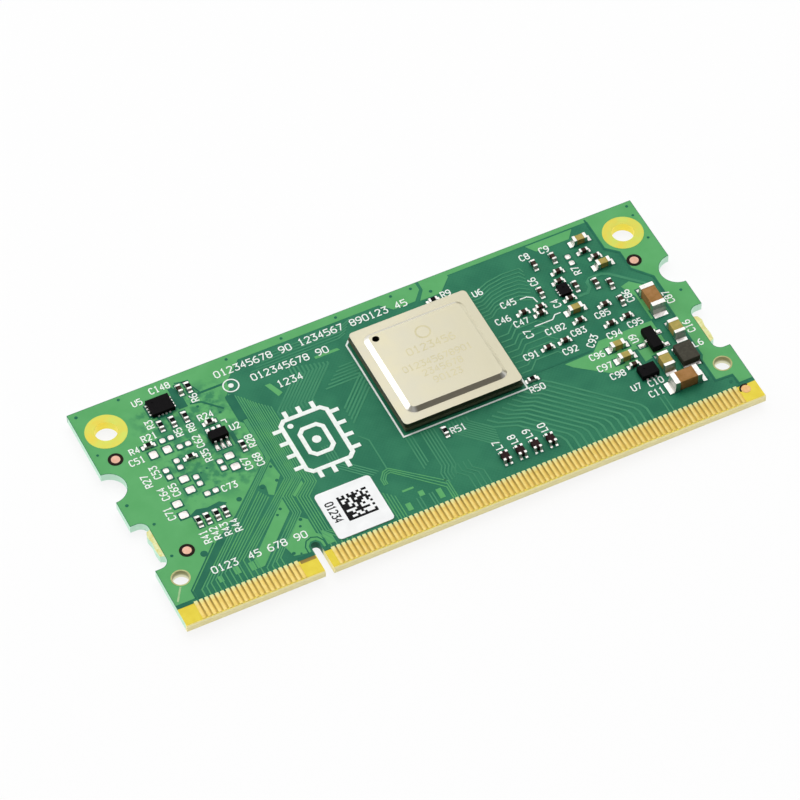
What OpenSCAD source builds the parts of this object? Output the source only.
// System on module: a small computer on one circuit card that slides into a socket by its contact edge.
// Millimetres. X runs along the contact edge, Y away from it, and Z up through the processor.
// The origin is under the middle of the card, on the plane that the two memory chips rest on.

/* [Board] */
// Width of the board, along its contact edge
board_w = 67.6; // [66:0.1:74]
// Depth of the board, away from its contact edge
board_d = 31; // [30.6:0.1:36]
// Thickness of the board
board_t = 1; // [0.8:0.1:1.4]
// Bevel along the contact edge, above and below
edge_bevel = 0.15; // [0.05:0.05:0.25]
// Thickness of the plated copper on the board
plating_t = 0.03; // [0.02:0.01:0.05]

/* [Contact edge] */
// Spacing of the contacts
contact_pitch = 0.6; // [0.55:0.05:0.8]
// Width of a contact
contact_w = 0.4; // [0.3:0.05:0.5]
// Length of a contact
contact_l = 2.4; // [1.5:0.1:2.8]
// Gap between the bevel and the contacts
contact_gap = 0.05; // [0.05:0.05:0.2]
// Centre of the first contact, from the left edge
contact_inset = 2.1; // [1.9:0.05:2.6]
// Centre of the key slot, from the left edge
key_x = 16.25; // [15:0.05:17]
// Width of the key slot
key_w = 1; // [0.8:0.1:1.2]
// Depth of the key slot
key_l = 4; // [3:0.1:4.4]
// Distance from the key's centre to the nearest contact on its left
key_room_left = 2.7; // [1.5:0.1:3]
// Distance from the key's centre to the nearest contact on its right
key_room_right = 1.5; // [1.2:0.1:2]

/* [Side cut-outs] */
// Radius of the latch notches
notch_r = 2; // [1.5:0.1:2.2]
// Distance from the contact edge to the latch notches
notch_y = 20; // [18.5:0.1:21]
// Distance from the contact edge to the middle of the break-off recesses
recess_y = 11.2; // [10.8:0.1:12]
// Length of a break-off recess
recess_l = 6.4; // [5:0.1:7]
// Depth of a break-off recess
recess_d = 1.7; // [1.2:0.1:1.8]
// Radius of the corners of a recess
recess_r = 1; // [0.5:0.1:1.1]
// Length of the broken stub in a recess
stub_l = 3.9; // [2.5:0.1:4]
// Height of the broken stub
stub_h = 0.65; // [0.3:0.05:0.9]

/* [Holes] */
// Diameter of the two screw holes
screw_hole_d = 2.5; // [2.2:0.1:2.7]
// Diameter of the gold ring around a screw hole
screw_pad_d = 4.6; // [4:0.1:5]
// Distance from the side edges to the screw holes
screw_inset = 2.9; // [2.7:0.05:3.2]
// Distance from the contact edge to the screw holes
screw_y = 27.15; // [26.6:0.05:27.6]
// Diameter of the two locating holes
locating_hole_d = 1.8; // [1.5:0.1:2]
// Diameter of the plated rim of a locating hole
locating_rim_d = 2.1; // [2.05:0.05:2.4]
// Distance from the side edges to the locating holes
locating_inset = 2; // [1.8:0.05:2.3]
// Distance from the contact edge to the locating holes
locating_y = 6; // [5.4:0.1:6.5]

/* [Processor] */
// Side of the processor package
soc_side = 14; // [13:0.1:15]
// Distance from the middle of the board to the processor, along X
soc_x = 4.3; // [3:0.1:5.5]
// Distance from the contact edge to the middle of the processor
soc_y = 19.65; // [19:0.05:20.2]
// Height of the solder balls under the processor
soc_ball_h = 0.3; // [0.2:0.05:0.35]
// Diameter of the solder balls under the processor
soc_ball_d = 0.42; // [0.38:0.02:0.5]
// Spacing of the solder balls under the processor
soc_ball_pitch = 0.8; // [0.7:0.05:0.8]
// Thickness of the carrier under the lid
substrate_t = 0.45; // [0.3:0.05:0.8]
// Thickness of the glue seam under the lid
glue_t = 0.1; // [0.05:0.05:0.2]
// Thickness of the lid's metal
lid_t = 0.55; // [0.4:0.05:0.7]
// Height that the middle of the lid is pressed up
lid_rise = 0.4; // [0.35:0.05:0.6]
// Width of the flat ledge around the lid
lid_ledge = 1.05; // [0.7:0.05:1.2]
// Width of the slope between the ledge and the raised middle
lid_slope = 0.5; // [0.3:0.05:0.8]
// Radius of the lid's corners
lid_corner_r = 0.5; // [0.3:0.1:1]
// Diameter of the vent hole by the first corner
vent_d = 0.8; // [0.5:0.1:1]
// Distance from the raised middle's edges to the vent
vent_inset = 0.7; // [0.7:0.05:1.5]
// Side of the silicon die
die_side = 8; // [6:0.1:9]
// Thickness of the silicon die
die_t = 0.4; // [0.3:0.05:0.45]

/* [Memory chips] */
// Width of the working memory chip
memory_w = 12; // [10:0.1:12.4]
// Depth of the working memory chip
memory_d = 11.5; // [10:0.1:12.5]
// Height of the working memory chip, with its solder balls
memory_h = 0.85; // [0.8:0.05:1.2]
// Width of the storage memory chip
flash_w = 13; // [11:0.1:13.4]
// Depth of the storage memory chip
flash_d = 11.5; // [10:0.1:12.5]
// Height of the storage memory chip, with its solder balls
flash_h = 0.85; // [0.8:0.05:1.2]
// Distance from the contact edge to the middle of both chips
memory_y = 18.2; // [17.7:0.1:18.7]
// Spacing of the solder balls under both chips
memory_ball_pitch = 0.8; // [0.7:0.05:0.85]
// Diameter of the solder balls under both chips
memory_ball_d = 0.4; // [0.35:0.01:0.5]
// Height of the solder balls under both chips
memory_ball_h = 0.22; // [0.15:0.01:0.3]

/* [Chip parts] */
// Length of a small capacitor or resistor
small_l = 1; // [0.8:0.05:1.1]
// Width of a small capacitor or resistor
small_w = 0.5; // [0.4:0.05:0.55]
// Height of a small capacitor
small_cap_h = 0.5; // [0.35:0.05:0.6]
// Height of a resistor
resistor_h = 0.35; // [0.25:0.05:0.45]
// Length of a medium capacitor
medium_l = 1.6; // [1.4:0.05:1.75]
// Width of a medium capacitor
medium_w = 0.8; // [0.7:0.05:0.95]
// Height of a medium capacitor
medium_h = 0.8; // [0.6:0.05:0.9]
// Length of a wide capacitor
wide_l = 2; // [1.8:0.1:2.1]
// Width of a wide capacitor
wide_w = 1.25; // [1.1:0.05:1.35]
// Height of a wide capacitor
wide_h = 1.1; // [0.8:0.05:1.3]
// Length of a large capacitor
large_l = 3.2; // [2.8:0.1:3.4]
// Width of a large capacitor
large_w = 1.6; // [1.3:0.1:1.8]
// Height of a large capacitor
large_h = 1.4; // [1:0.1:1.6]
// Thickness of the metal on the ends of a part
end_metal_t = 0.03; // [0.02:0.01:0.04]
// Thickness of the black coat on a resistor
coat_t = 0.04; // [0.03:0.01:0.06]
// Thickness of the solder under a part
land_t = 0.03; // [0.02:0.01:0.05]

/* [Chips and coils] */
// Width of the power monitor chip
monitor_w = 2.6; // [2.3:0.1:2.8]
// Depth of the power monitor chip
monitor_d = 2.1; // [2:0.1:2.4]
// Height of the power monitor chip
monitor_h = 0.6; // [0.5:0.05:0.9]
// Length of the six-leg switch chip
switch_l = 2; // [1.8:0.05:2.2]
// Width of the six-leg switch chip
switch_w = 1.25; // [1.1:0.05:1.35]
// Height of the six-leg switch chip
switch_h = 0.95; // [0.8:0.05:1.1]
// Length of the three-leg reset chip
reset_l = 2.9; // [2.7:0.05:3]
// Width of the three-leg reset chip
reset_w = 1.3; // [1.2:0.05:1.4]
// Height of the three-leg reset chip
reset_h = 1; // [0.85:0.05:1.1]
// Width of the step-down converter
converter_w = 2; // [1.8:0.05:2.1]
// Depth of the step-down converter
converter_d = 1.5; // [1.3:0.05:1.6]
// Height of the step-down converter
converter_h = 0.75; // [0.5:0.05:0.9]
// Width of the small regulator
regulator_w = 1.2; // [1.1:0.05:1.3]
// Depth of the small regulator
regulator_d = 1.5; // [1.4:0.05:1.6]
// Height of the small regulator
regulator_h = 0.5; // [0.4:0.05:0.6]
// Length of the power inductor
inductor_l = 2.5; // [2.2:0.1:2.6]
// Width of the power inductor
inductor_w = 2; // [1.8:0.1:2.2]
// Height of the power inductor
inductor_h = 1; // [0.8:0.05:1.2]
// Height of the power inductor's two feet
inductor_foot_h = 0.15; // [0.1:0.01:0.25]
// Length of a line choke
choke_l = 1.3; // [1.1:0.05:1.4]
// Width of a line choke
choke_w = 0.9; // [0.8:0.05:1]
// Height of a line choke
choke_h = 0.6; // [0.5:0.05:0.8]
// Width of the clock crystal
crystal_w = 2.5; // [2:0.1:2.8]
// Depth of the clock crystal
crystal_d = 2; // [1.6:0.1:2.2]
// Height of the clock crystal
crystal_h = 0.6; // [0.5:0.05:0.75]

/* [Label and sighting dots] */
// Side of the sticker
label_side = 6.45; // [5:0.05:6.6]
// Radius of the sticker's corners
label_r = 0.45; // [0.2:0.05:1]
// Thickness of the sticker
label_t = 0.1; // [0.05:0.05:0.2]
// Diameter of a sighting dot
fiducial_d = 1; // [0.8:0.1:1.2]

/* [Hidden] */
$fn = 48;

// Amount by which a cutting shape passes the surface that it cuts
over = 1;
// Allowance that keeps a whole number of pitches from being rounded down
count_slack = 0.001;

// Heights of the board's two faces above the rest plane
board_under = max(memory_h, flash_h);
board_top = board_under + board_t;

// Contacts on each side of the key, as many as fit
contact_y = edge_bevel + contact_gap + contact_l / 2;
left_contacts = 1 + floor((key_x - key_room_left - contact_inset) / contact_pitch + count_slack);
key_contact_x = key_x + key_room_right;
right_contacts = 1 + floor((board_w - contact_inset - key_contact_x) / contact_pitch + count_slack);
contact_xs = concat(
    [for (i = [0 : left_contacts - 1]) contact_inset + i * contact_pitch],
    [for (i = [0 : right_contacts - 1]) key_contact_x + i * contact_pitch]
);
// The underside contacts stand half a pitch along
under_shift = contact_pitch / 2;
under_contact_xs = [for (x = contact_xs) if (x + under_shift < board_w - contact_inset + count_slack) x + under_shift];

// Outline of the broken stub: fractions of its length and height
stub_shape = [[-0.5, 0], [-0.44, 0.75], [-0.2, 0.9], [0.06, 0.75], [0.3, 1], [0.46, 0.7], [0.5, 0]];

// Processor package
soc_left = board_w / 2 + soc_x - soc_side / 2;
soc_right = soc_left + soc_side;
soc_front = soc_y - soc_side / 2;
soc_rear = soc_y + soc_side / 2;
substrate_top = soc_ball_h + substrate_t;
lid_z = substrate_top + glue_t;
lid_middle = soc_side - 2 * (lid_ledge + lid_slope);
lid_cavity = soc_side - 2 * (lid_ledge + lid_t);
glue_setback = 0.15;
vent_at = lid_middle / 2 - vent_inset;
paste_t = glue_t + lid_rise - die_t;
// Rings of balls kept around the rim, and the rings kept in the middle
soc_ball_rings = 4;
soc_core_balls = 2;
soc_ball_edge = 0.6;

// Memory chips, side by side about the middle of the board
memory_x = board_w / 2 + soc_x;
flash_offset = 11.3;
flash_x = board_w / 2 - flash_offset;
memory_ball_rings = 3;
memory_ball_edge = 0.7;
dimple_d = 0.6;
dimple_h = 0.05;
dimple_inset = 1;

// Metal bands on the ends of the two-ended parts
small_band = 0.24;
medium_band = 0.35;
wide_band = 0.4;
large_band = 0.55;
inductor_band = 0.5;
choke_band = 0.28;

// Solder at the end of a part: how far it runs out, how high it climbs and its hollow middle
small_reach = 0.3;
medium_reach = 0.5;
wide_reach = 0.55;
large_reach = 0.65;
solder_climb = 0.4;
solder_waist = [0.25, 0.12];

// Tinned pads without a part: sides and height of their domes
small_pad = [0.62, 0.6];
medium_pad = [0.85, 0.95];
pad_corner_r = 0.2;
pad_dome_h = 0.12;

// Leads and pads of the chips
lead_t = 0.14;
lead_draft = 0.07;
lead_shoulder = 0.12;
lead_run = 0.16;
switch_lead_w = 0.24;
switch_lead_pitch = 0.65;
switch_lead_reach = 1.5;
reset_lead_w = 0.36;
reset_lead_pitch = 0.95;
reset_lead_reach = 1.5;
land_margin = 0.08;
flat_pad_w = 0.22;
flat_pad_l = 0.32;
flat_pad_t = 0.2;
flat_pad_toe = 0.2;
// Pads along the front and rear sides, then along the left and right sides
monitor_rows = [4, 4];
converter_rows = [3, 0];
regulator_rows = [0, 3];
monitor_pitch = 0.43;
converter_pitch = 0.5;
regulator_pitch = 0.4;

// Clock crystal
crystal_cap_t = 0.2;
crystal_rim = 0.15;

// Places of the parts: distance from the left edge, distance from the contact edge, turn
monitor_at = [9.4, 27.6];
switch_at = [13.2, 21.05];
label_at = [22, 6.2];
left_resistors = [
    [13.15, 28.75, 90], [8.35, 25.2, 90], [9.75, 25.2, 90], [11.2, 25.2, 90],
    [6.1, 23.3, 0], [13.2, 23.3, 0], [9.45, 19.95, 0], [15.05, 18.9, 90],
    [6.7, 11.8, 90], [7.7, 11.8, 90], [8.75, 11.8, 90], [9.75, 11.8, 90]
];
left_capacitors = [[12.15, 28.75, 90]];
small_pad_gap = 0.95;
medium_pad_gap = 1.6;
left_small_pads = [
    [8.2, 23.3, 0], [9.52, 21.75, 0], [9.52, 14.75, 0],
    [6.4, 18.98, 90], [7.95, 19.68, 90], [8.9, 16.8, 90], [12, 17.55, 90]
];
left_medium_pads = [[6.9, 22, 0], [7.65, 16.8, 90], [5.65, 14.08, 90], [13.2, 17.5, 90]];
left_fiducials = [[2.28, 23.25], [4.05, 8.95]];

// Places of the parts: distance from the right edge, distance from the contact edge, turn
reset_at = [7.35, 12, 90];
converter_at = [9.75, 8.4];
regulator_at = [12.5, 22.6];
inductor_at = [5, 8.6, 90];
right_small_capacitors = [
    [13.75, 27.3, 90], [11.45, 27.3, 90], [14.9, 23.5, 90], [11.1, 22.6, 90],
    [8.95, 22, 90], [7.55, 21.25, 90], [7.6, 18.6, 90],
    [11.9, 25.25, 0], [12.45, 23.95, 0], [12.45, 21.25, 0], [12.95, 18.05, 0],
    [17.85, 21.75, 0], [16.25, 20.8, 0], [15.9, 21.65, 0], [8.05, 26.6, 0],
    [7.25, 25.35, 0], [9.5, 18.85, 0], [17.7, 16.2, 0], [15.65, 16.25, 0],
    [10.15, 16.15, 0], [8.1, 16.3, 0], [10.6, 9.95, 0]
];
right_medium_capacitors = [
    [7.75, 28.15, 0], [7, 24, 0], [12.65, 19.6, 0], [11, 13, 0], [10.95, 11.25, 0]
];
right_wide_capacitors = [[4.35, 12.15, 90], [7.5, 8.6, 90]];
right_large_capacitors = [[4.7, 16.95, 90], [6.75, 5.5, 0]];
right_small_pads = [[9.9, 26.25, 90]];
right_fiducials = [[3.65, 23.1]];

// Resistors around the processor: how far along its edges they are, and how far out
front_resistor_along = 3.85;
front_resistor_out = 1.7;
right_resistor_along = 0.45;
right_resistor_out = 1.3;
rear_resistor_along = 3.25;
rear_resistor_out = 1.1;
soc_resistors = [
    [soc_left + front_resistor_along, soc_front - front_resistor_out, 90],
    [soc_right + right_resistor_out, soc_front + right_resistor_along, 0],
    [soc_right - rear_resistor_along, soc_rear + rear_resistor_out, 0]
];

// Line chokes: the first one from the middle of the board, their spacing and their row
choke_count = 4;
choke_first = 5.25;
choke_pitch = 1.78;
choke_y = 4.9;

// Capacitors on the underside, in rows outside the memory chips: spacings, and distance from a chip's edge
memory_row_gap = 1.15;
memory_row_pitch = 2.1;
memory_row_count = 5;
flash_row_gap = 1.2;
flash_row_pitch = 3;
flash_row_count = 3;
memory_rows = [for (i = [0 : memory_row_count - 1]) (i - (memory_row_count - 1) / 2) * memory_row_pitch];
flash_rows = [for (i = [0 : flash_row_count - 1]) (i - (flash_row_count - 1) / 2) * flash_row_pitch];
under_places = concat(
    [for (s = memory_rows) [memory_x - memory_w / 2 - memory_row_gap, memory_y + s, 90]],
    [for (s = memory_rows) [memory_x + s, memory_y - memory_d / 2 - memory_row_gap, 0]],
    [for (s = memory_rows) [memory_x + s, memory_y + memory_d / 2 + memory_row_gap, 0]],
    [for (s = flash_rows) [flash_x - flash_w / 2 - flash_row_gap, memory_y + s, 90]]
);
// Clock crystal on the underside: its place from the working memory chip, and its two capacitors
crystal_out = 4.8;
crystal_along = 1.4;
crystal_row = 1.7;
crystal_row_out = 3;
crystal_place = [memory_x + memory_w / 2 + crystal_out, memory_y + crystal_along];
crystal_capacitors = [
    for (s = [-crystal_row, crystal_row]) [crystal_place[0] + s, crystal_place[1] - crystal_row_out, 90]
];

// Sizes of the parts as length, width and height
small_cap = [small_l, small_w, small_cap_h];
resistor = [small_l, small_w, resistor_h];
medium_cap = [medium_l, medium_w, medium_h];
wide_cap = [wide_l, wide_w, wide_h];
large_cap = [large_l, large_w, large_h];
inductor_foot = [inductor_l, inductor_w, inductor_foot_h];
choke = [choke_l, choke_w, choke_h];
monitor = [monitor_w, monitor_d, monitor_h];
converter = [converter_w, converter_d, converter_h];
regulator = [regulator_w, regulator_d, regulator_h];

// Places measured from the right edge, turned into places from the left edge
function after_x(place) = [for (i = [1 : len(place) - 1]) place[i]];
function from_right(place) = concat([board_w - place[0]], after_x(place));
reset_place = from_right(reset_at);
converter_place = from_right(converter_at);
regulator_place = from_right(regulator_at);
inductor_place = from_right(inductor_at);
small_capacitors = concat(left_capacitors, [for (p = right_small_capacitors) from_right(p)]);
medium_capacitors = [for (p = right_medium_capacitors) from_right(p)];
wide_capacitors = [for (p = right_wide_capacitors) from_right(p)];
large_capacitors = [for (p = right_large_capacitors) from_right(p)];
resistors = concat(left_resistors, soc_resistors);
small_pads = concat(left_small_pads, [for (p = right_small_pads) from_right(p)]);
fiducials = concat(left_fiducials, [for (p = right_fiducials) from_right(p)]);
chokes = [for (i = [0 : choke_count - 1]) [board_w / 2 + choke_first + i * choke_pitch, choke_y, 90]];
under_capacitors = concat(under_places, crystal_capacitors);

// Colours
mask_green = [0.24, 0.56, 0.38];
gold = [0.93, 0.79, 0.36];
copper = [0.93, 0.64, 0.5];
tin = [0.88, 0.88, 0.87];
lid_silver = [0.87, 0.85, 0.78];
chip_black = [0.09, 0.08, 0.09];
ferrite_grey = [0.3, 0.28, 0.27];
ceramic_dark = [0.22, 0.15, 0.12];
ceramic_tan = [0.72, 0.61, 0.38];
ceramic_brown = [0.62, 0.4, 0.24];
ceramic_white = [0.92, 0.92, 0.9];

// Placing the children on the two faces of the board
module on_top(place) {
    translate([place[0] - board_w / 2, place[1] - board_d / 2, board_top])
        rotate(len(place) > 2 ? place[2] : 0)
            children();
}

module on_underside(place) {
    translate([place[0] - board_w / 2, place[1] - board_d / 2, board_under])
        rotate([180, 0, len(place) > 2 ? place[2] : 0])
            children();
}

// A profile drawn across Y and Z, run along X
module along_x(length) {
    rotate([90, 0, 90])
        linear_extrude(length, center = true)
            children();
}

// A profile drawn across X and Z, run along Y
module along_y(length) {
    rotate([90, 0, 0])
        linear_extrude(length, center = true)
            children();
}

// A rectangle with round corners
module round_rect(size, r) {
    square([size[0] - 2 * r, size[1]], center = true);
    square([size[0], size[1] - 2 * r], center = true);
    for (x = [-1, 1], y = [-1, 1])
        translate([x * (size[0] / 2 - r), y * (size[1] / 2 - r)])
            circle(r = r);
}

// A box that stands on the plane below it
module block(size, z = 0) {
    translate([-size[0] / 2, -size[1] / 2, z])
        cube(size);
}

// The board: one laminate plate
module key_slot() {
    translate([key_x - board_w / 2, -board_d / 2]) {
        translate([-key_w / 2, -over])
            square([key_w, key_l - key_w / 2 + over]);
        translate([0, key_l - key_w / 2])
            circle(d = key_w);
    }
}

// A break-off recess, centred on the right edge, with the broken stub left standing on its floor
module recess() {
    difference() {
        round_rect([2 * recess_d, recess_l], recess_r);
        translate([-recess_d, 0])
            polygon(concat(
                [[-over, -stub_l / 2]],
                [for (p = stub_shape) [p[1] * stub_h, p[0] * stub_l]],
                [[-over, stub_l / 2]]
            ));
    }
}

module right_side_cuts() {
    translate([board_w / 2, notch_y - board_d / 2])
        circle(r = notch_r);
    translate([board_w / 2, recess_y - board_d / 2])
        recess();
    translate([board_w / 2 - screw_inset, screw_y - board_d / 2])
        circle(d = screw_hole_d + 2 * plating_t);
    translate([board_w / 2 - locating_inset, locating_y - board_d / 2])
        circle(d = locating_hole_d + 2 * plating_t);
}

module board_outline() {
    difference() {
        square([board_w, board_d], center = true);
        key_slot();
        right_side_cuts();
        mirror([1, 0, 0]) right_side_cuts();
    }
}

module bevel_cut() {
    along_x(board_w + 2 * over)
        polygon([
            [-board_d / 2 - over, board_top - edge_bevel - over],
            [-board_d / 2 - over, board_top + over],
            [-board_d / 2 + edge_bevel + over, board_top + over]
        ]);
}

module circuit_board() {
    color(mask_green)
        difference() {
            translate([0, 0, board_under])
                linear_extrude(board_t)
                    board_outline();
            bevel_cut();
            translate([0, 0, board_under + board_top])
                mirror([0, 0, 1])
                    bevel_cut();
        }
}

// Plated copper on the board
module contact() {
    block([contact_w, contact_l, plating_t]);
}

module edge_contacts_top() {
    color(gold)
        for (x = contact_xs)
            on_top([x, contact_y]) contact();
}

module edge_contacts_bottom() {
    color(gold)
        for (x = under_contact_xs)
            on_underside([x, contact_y]) contact();
}

// A plated hole: a thin lining with a ring on each face
module plated_hole(hole_d, ring_d) {
    rotate_extrude()
        polygon([
            [hole_d / 2, -board_t - plating_t],
            [ring_d / 2, -board_t - plating_t],
            [ring_d / 2, -board_t],
            [hole_d / 2 + plating_t, -board_t],
            [hole_d / 2 + plating_t, 0],
            [ring_d / 2, 0],
            [ring_d / 2, plating_t],
            [hole_d / 2, plating_t]
        ]);
}

module mounting_pads() {
    color(gold)
        for (x = [screw_inset, board_w - screw_inset])
            on_top([x, screw_y]) plated_hole(screw_hole_d, screw_pad_d);
}

module locating_hole_rims() {
    color(gold)
        for (x = [locating_inset, board_w - locating_inset])
            on_top([x, locating_y]) plated_hole(locating_hole_d, locating_rim_d);
}

module fiducial_pads() {
    color(copper)
        for (p = fiducials)
            on_top(p) cylinder(d = fiducial_d, h = plating_t);
}

// A tinned pad with a low dome of solder on it
module solder_dome(size) {
    half = norm(size) / 2;
    ball_r = (half * half + pad_dome_h * pad_dome_h) / (2 * pad_dome_h);
    intersection() {
        linear_extrude(2 * pad_dome_h) round_rect(size, pad_corner_r);
        translate([0, 0, pad_dome_h + land_t - ball_r]) sphere(ball_r);
    }
}

module pad_pair(size, gap) {
    for (x = [-gap / 2, gap / 2])
        translate([x, 0, 0]) solder_dome(size);
}

module bare_solder_pads() {
    color(tin) {
        for (p = small_pads)
            on_top(p) pad_pair(small_pad, small_pad_gap);
        for (p = left_medium_pads)
            on_top(p) pad_pair(medium_pad, medium_pad_gap);
    }
}

// Two-ended parts, lying along X: a body, metal ends wrapped around it and solder at each end
module part_body(size) {
    block(
        [size[0] - 2 * end_metal_t, size[1] - 2 * end_metal_t, size[2] - 2 * end_metal_t],
        land_t + end_metal_t
    );
}

module part_ends(size, band) {
    for (end = [-1, 1])
        difference() {
            translate([end * (size[0] - band) / 2, 0, 0])
                block([band, size[1], size[2]], land_t);
            part_body(size);
        }
}

module part_solder(size, band, reach) {
    climb = solder_climb * size[2];
    for (turn = [0, 180])
        rotate(turn)
            translate([size[0] / 2, 0, 0])
                along_y(size[1])
                    polygon([
                        [-band, 0],
                        [reach, 0],
                        [reach, land_t],
                        [solder_waist[0] * reach, land_t + solder_waist[1] * climb],
                        [0, land_t + climb],
                        [0, land_t],
                        [-band, land_t]
                    ]);
}

// A resistor: a ceramic bar as wide as its ends, with a black coat between them
module resistor_bar() {
    block([small_l - 2 * end_metal_t, small_w, resistor_h - 2 * end_metal_t], land_t + end_metal_t);
}

module resistor_coat() {
    block([small_l - 2 * small_band, small_w, coat_t], land_t + resistor_h - end_metal_t);
}

module resistor_ends() {
    for (end = [-1, 1])
        difference() {
            translate([end * (small_l - small_band) / 2, 0, 0])
                block([small_band, small_w, resistor_h], land_t);
            resistor_bar();
        }
}

// Chips with flat pads along their sides
module flat_pads(size, along_sides, pitch) {
    for (side = [0 : 3]) {
        count = along_sides[side % 2];
        depth = size[(side + 1) % 2];
        if (count > 0)
            for (i = [0 : count - 1])
                rotate(90 * side)
                    translate([(i - (count - 1) / 2) * pitch, (depth + flat_pad_toe - flat_pad_l) / 2, 0])
                        block([flat_pad_w, flat_pad_l + flat_pad_toe, flat_pad_t]);
    }
}

module flat_chip(size, along_sides, pitch) {
    difference() {
        block([size[0], size[1], size[2] - land_t], land_t);
        flat_pads(size, along_sides, pitch);
        translate([-size[0] / 2 + dimple_d, size[1] / 2 - dimple_d, size[2] - dimple_h])
            cylinder(d = dimple_d / 2, h = over);
    }
}

// Chips with bent legs: a moulded body along X, with its legs on the Y sides
function leg_top(h) = h / 2 + land_t + lead_t / 2;

module leg_chip(l, w, h) {
    mid = leg_top(h);
    along_x(l)
        polygon([
            [-w / 2 + lead_draft, lead_t],
            [w / 2 - lead_draft, lead_t],
            [w / 2, mid - lead_t],
            [w / 2, mid],
            [w / 2 - lead_draft, h],
            [-w / 2 + lead_draft, h],
            [-w / 2, mid],
            [-w / 2, mid - lead_t]
        ]);
}

module leg(w, h, reach, lead_w) {
    mid = leg_top(h);
    bend = w / 2 + lead_shoulder;
    along_x(lead_w)
        polygon([
            [w / 2, mid - lead_t],
            [bend, mid - lead_t],
            [bend + lead_run, land_t],
            [reach, land_t],
            [reach, land_t + lead_t],
            [bend + lead_run + lead_t / 2, land_t + lead_t],
            [bend + lead_t / 2, mid],
            [w / 2, mid]
        ]);
}

module leg_land(w, reach, lead_w) {
    start = w / 2 + lead_shoulder;
    translate([0, (start + reach + land_margin) / 2, 0])
        block([lead_w + 2 * land_margin, reach + land_margin - start, land_t]);
}

module switch_legs() {
    for (turn = [0, 180], i = [-1 : 1])
        rotate(turn)
            translate([i * switch_lead_pitch, 0, 0])
                children();
}

module reset_legs() {
    children();
    for (x = [-reset_lead_pitch, reset_lead_pitch])
        rotate(180)
            translate([x, 0, 0])
                children();
}

// Four-terminal chokes: metal at each corner
module choke_ends() {
    for (x = [-1, 1], y = [-1, 1])
        difference() {
            translate([x * (choke_l - choke_band) / 2, y * (choke_w - choke_band) / 2, 0])
                block([choke_band, choke_band, choke_h], land_t);
            part_body(choke);
        }
}

module choke_solder() {
    for (y = [-1, 1])
        translate([0, y * (choke_w - choke_band) / 2, 0])
            part_solder([choke_l, choke_band, choke_h], choke_band, small_reach);
}

// Solder under and around the fitted parts
module solder_joints() {
    color(tin) {
        for (p = small_capacitors)
            on_top(p) part_solder(small_cap, small_band, small_reach);
        for (p = resistors)
            on_top(p) part_solder(resistor, small_band, small_reach);
        for (p = medium_capacitors)
            on_top(p) part_solder(medium_cap, medium_band, medium_reach);
        for (p = wide_capacitors)
            on_top(p) part_solder(wide_cap, wide_band, wide_reach);
        for (p = large_capacitors)
            on_top(p) part_solder(large_cap, large_band, large_reach);
        for (p = chokes)
            on_top(p) choke_solder();
        on_top(inductor_place) part_solder(inductor_foot, inductor_band, small_reach);
        on_top(switch_at)
            switch_legs() leg_land(switch_w, switch_lead_reach, switch_lead_w);
        on_top(reset_place)
            reset_legs() leg_land(reset_w, reset_lead_reach, reset_lead_w);
    }
}

module underside_solder_joints() {
    color(tin)
        for (p = under_capacitors)
            on_underside(p) part_solder(small_cap, small_band, small_reach);
}

module paper_label() {
    color("white")
        on_top(label_at)
            linear_extrude(label_t)
                round_rect([label_side, label_side], label_r);
}

// Solder balls in a square grid: rings around the rim, and a block in the middle
module ball(d, h) {
    translate([0, 0, h / 2])
        intersection() {
            sphere(d = d);
            cube([2 * d, 2 * d, h], center = true);
        }
}

module ball_grid(size, edge, pitch, rings, core, d, h) {
    columns = 1 + floor((size[0] - 2 * edge) / pitch + count_slack);
    rows = 1 + floor((size[1] - 2 * edge) / pitch + count_slack);
    for (c = [0 : columns - 1], r = [0 : rows - 1]) {
        x = c - (columns - 1) / 2;
        y = r - (rows - 1) / 2;
        in_rings = min(c, r, columns - 1 - c, rows - 1 - r) < rings;
        in_core = max(abs(x), abs(y)) <= core;
        if (in_rings || in_core)
            translate([x * pitch, y * pitch, 0]) ball(d, h);
    }
}

// Processor package, from the board up
module on_processor_site() {
    on_top([board_w / 2 + soc_x, soc_y]) children();
}

module soc_solder_balls() {
    color(tin)
        on_processor_site()
            ball_grid(
                [soc_side, soc_side], soc_ball_edge, soc_ball_pitch,
                soc_ball_rings, soc_core_balls, soc_ball_d, soc_ball_h
            );
}

module soc_substrate() {
    color([0.2, 0.25, 0.14])
        on_processor_site()
            block([soc_side, soc_side, substrate_t], soc_ball_h);
}

module soc_die() {
    color([0.35, 0.36, 0.4])
        on_processor_site()
            block([die_side, die_side, die_t], substrate_top);
}

module soc_thermal_paste() {
    color([0.75, 0.75, 0.75])
        on_processor_site()
            block([die_side, die_side, paste_t], substrate_top + die_t);
}

module soc_lid_adhesive() {
    seam = soc_side - 2 * glue_setback;
    color(chip_black)
        on_processor_site()
            translate([0, 0, substrate_top])
                linear_extrude(glue_t)
                    difference() {
                        round_rect([seam, seam], lid_corner_r);
                        square(lid_cavity, center = true);
                    }
}

// The lid: a pressed cap with a flat ledge, sloped sides and a raised middle, hollow underneath
module lid_raised_middle() {
    foot = soc_side - 2 * lid_ledge;
    skin = 0.01;
    hull() {
        linear_extrude(skin)
            round_rect([foot, foot], lid_corner_r + lid_slope, $fn = 32);
        translate([0, 0, lid_rise - skin])
            linear_extrude(skin)
                round_rect([lid_middle, lid_middle], lid_corner_r, $fn = 32);
    }
}

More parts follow.
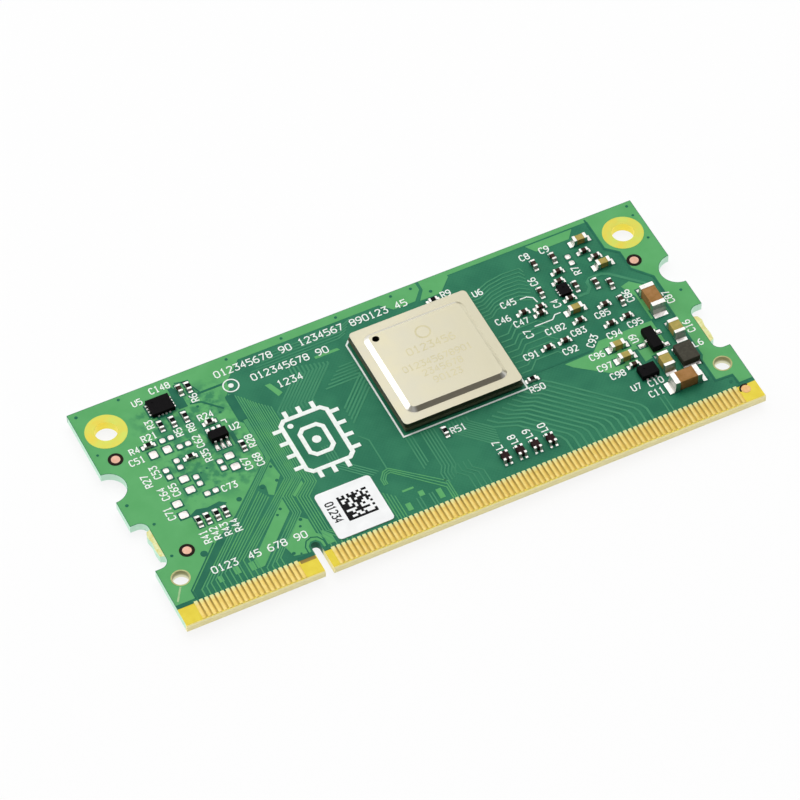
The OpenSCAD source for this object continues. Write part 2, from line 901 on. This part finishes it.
module soc_lid() {
    color(lid_silver)
        on_processor_site()
            translate([0, 0, lid_z])
                difference() {
                    union() {
                        linear_extrude(lid_t)
                            round_rect([soc_side, soc_side], lid_corner_r);
                        translate([0, 0, lid_t]) lid_raised_middle();
                    }
                    block([lid_cavity, lid_cavity, lid_rise + over], -over);
                    translate([-vent_at, vent_at, 0])
                        cylinder(d = vent_d, h = lid_t + lid_rise + over);
                }
}

// Memory chips on the underside
module memory_body(size) {
    difference() {
        block([size[0], size[1], size[2] - memory_ball_h], memory_ball_h);
        translate([dimple_inset - size[0] / 2, size[1] / 2 - dimple_inset, size[2] - dimple_h])
            cylinder(d = dimple_d, h = over);
    }
}

module memory_balls(size) {
    ball_grid(
        size, memory_ball_edge, memory_ball_pitch,
        memory_ball_rings, 0, memory_ball_d, memory_ball_h
    );
}

module memory_solder_balls() {
    color(tin)
        on_underside([memory_x, memory_y]) memory_balls([memory_w, memory_d]);
}

module memory_chip() {
    color(chip_black)
        on_underside([memory_x, memory_y]) memory_body([memory_w, memory_d, memory_h]);
}

module flash_solder_balls() {
    color(tin)
        on_underside([flash_x, memory_y]) memory_balls([flash_w, flash_d]);
}

module flash_chip() {
    color(chip_black)
        on_underside([flash_x, memory_y]) memory_body([flash_w, flash_d, flash_h]);
}

// Small chips
module power_monitor_body() {
    color(chip_black)
        on_top(monitor_at) flat_chip(monitor, monitor_rows, monitor_pitch);
}

module power_monitor_pads() {
    color(tin)
        on_top(monitor_at) flat_pads(monitor, monitor_rows, monitor_pitch);
}

module signal_switch_body() {
    color(chip_black)
        on_top(switch_at) leg_chip(switch_l, switch_w, switch_h);
}

module signal_switch_leads() {
    color(tin)
        on_top(switch_at)
            switch_legs() leg(switch_w, switch_h, switch_lead_reach, switch_lead_w);
}

module reset_chip_body() {
    color(chip_black)
        on_top(reset_place) leg_chip(reset_l, reset_w, reset_h);
}

module reset_chip_leads() {
    color(tin)
        on_top(reset_place)
            reset_legs() leg(reset_w, reset_h, reset_lead_reach, reset_lead_w);
}

module converter_body() {
    color(chip_black)
        on_top(converter_place) flat_chip(converter, converter_rows, converter_pitch);
}

module converter_pads() {
    color(tin)
        on_top(converter_place) flat_pads(converter, converter_rows, converter_pitch);
}

module regulator_body() {
    color(chip_black)
        on_top(regulator_place) flat_chip(regulator, regulator_rows, regulator_pitch);
}

module regulator_pads() {
    color(tin)
        on_top(regulator_place) flat_pads(regulator, regulator_rows, regulator_pitch);
}

// Coils: the power inductor is a moulded block on two low feet
module power_inductor_body() {
    color(ferrite_grey)
        on_top(inductor_place)
            block([inductor_l, inductor_w, inductor_h - inductor_foot_h], land_t + inductor_foot_h);
}

module power_inductor_terminals() {
    color(tin)
        on_top(inductor_place)
            for (end = [-1, 1])
                translate([end * (inductor_l - inductor_band) / 2, 0, 0])
                    block([inductor_band, inductor_w, inductor_foot_h], land_t);
}

module line_choke_bodies() {
    color(chip_black)
        for (p = chokes)
            on_top(p) part_body(choke);
}

module line_choke_terminals() {
    color(tin)
        for (p = chokes)
            on_top(p) choke_ends();
}

// Capacitors
module large_capacitor_bodies() {
    color(ceramic_brown)
        for (p = large_capacitors)
            on_top(p) part_body(large_cap);
}

module large_capacitor_terminals() {
    color(tin)
        for (p = large_capacitors)
            on_top(p) part_ends(large_cap, large_band);
}

module wide_capacitor_bodies() {
    color(ceramic_tan)
        for (p = wide_capacitors)
            on_top(p) part_body(wide_cap);
}

module wide_capacitor_terminals() {
    color(tin)
        for (p = wide_capacitors)
            on_top(p) part_ends(wide_cap, wide_band);
}

module medium_capacitor_bodies() {
    color(ceramic_tan)
        for (p = medium_capacitors)
            on_top(p) part_body(medium_cap);
}

module medium_capacitor_terminals() {
    color(tin)
        for (p = medium_capacitors)
            on_top(p) part_ends(medium_cap, medium_band);
}

module small_capacitor_bodies() {
    color(ceramic_dark)
        for (p = small_capacitors)
            on_top(p) part_body(small_cap);
}

module small_capacitor_terminals() {
    color(tin)
        for (p = small_capacitors)
            on_top(p) part_ends(small_cap, small_band);
}

// Resistors
module resistor_bodies() {
    color(ceramic_white)
        for (p = resistors)
            on_top(p) resistor_bar();
}

module resistor_coats() {
    color(chip_black)
        for (p = resistors)
            on_top(p) resistor_coat();
}

module resistor_terminals() {
    color(tin)
        for (p = resistors)
            on_top(p) resistor_ends();
}

// Parts on the underside
module underside_capacitor_bodies() {
    color(ceramic_dark)
        for (p = under_capacitors)
            on_underside(p) part_body(small_cap);
}

module underside_capacitor_terminals() {
    color(tin)
        for (p = under_capacitors)
            on_underside(p) part_ends(small_cap, small_band);
}

module crystal_base() {
    color(ceramic_white)
        on_underside(crystal_place)
            block([crystal_w, crystal_d, crystal_h - crystal_cap_t]);
}

module crystal_cap() {
    color(lid_silver)
        on_underside(crystal_place)
            block(
                [crystal_w - 2 * crystal_rim, crystal_d - 2 * crystal_rim, crystal_cap_t],
                crystal_h - crystal_cap_t
            );
}

circuit_board();
edge_contacts_top();
edge_contacts_bottom();
mounting_pads();
locating_hole_rims();
fiducial_pads();
bare_solder_pads();
solder_joints();
underside_solder_joints();
paper_label();
soc_solder_balls();
soc_substrate();
soc_die();
soc_thermal_paste();
soc_lid_adhesive();
soc_lid();
memory_solder_balls();
memory_chip();
flash_solder_balls();
flash_chip();
power_monitor_body();
power_monitor_pads();
signal_switch_body();
signal_switch_leads();
reset_chip_body();
reset_chip_leads();
converter_body();
converter_pads();
regulator_body();
regulator_pads();
power_inductor_body();
power_inductor_terminals();
line_choke_bodies();
line_choke_terminals();
large_capacitor_bodies();
large_capacitor_terminals();
wide_capacitor_bodies();
wide_capacitor_terminals();
medium_capacitor_bodies();
medium_capacitor_terminals();
small_capacitor_bodies();
small_capacitor_terminals();
resistor_bodies();
resistor_coats();
resistor_terminals();
underside_capacitor_bodies();
underside_capacitor_terminals();
crystal_base();
crystal_cap();
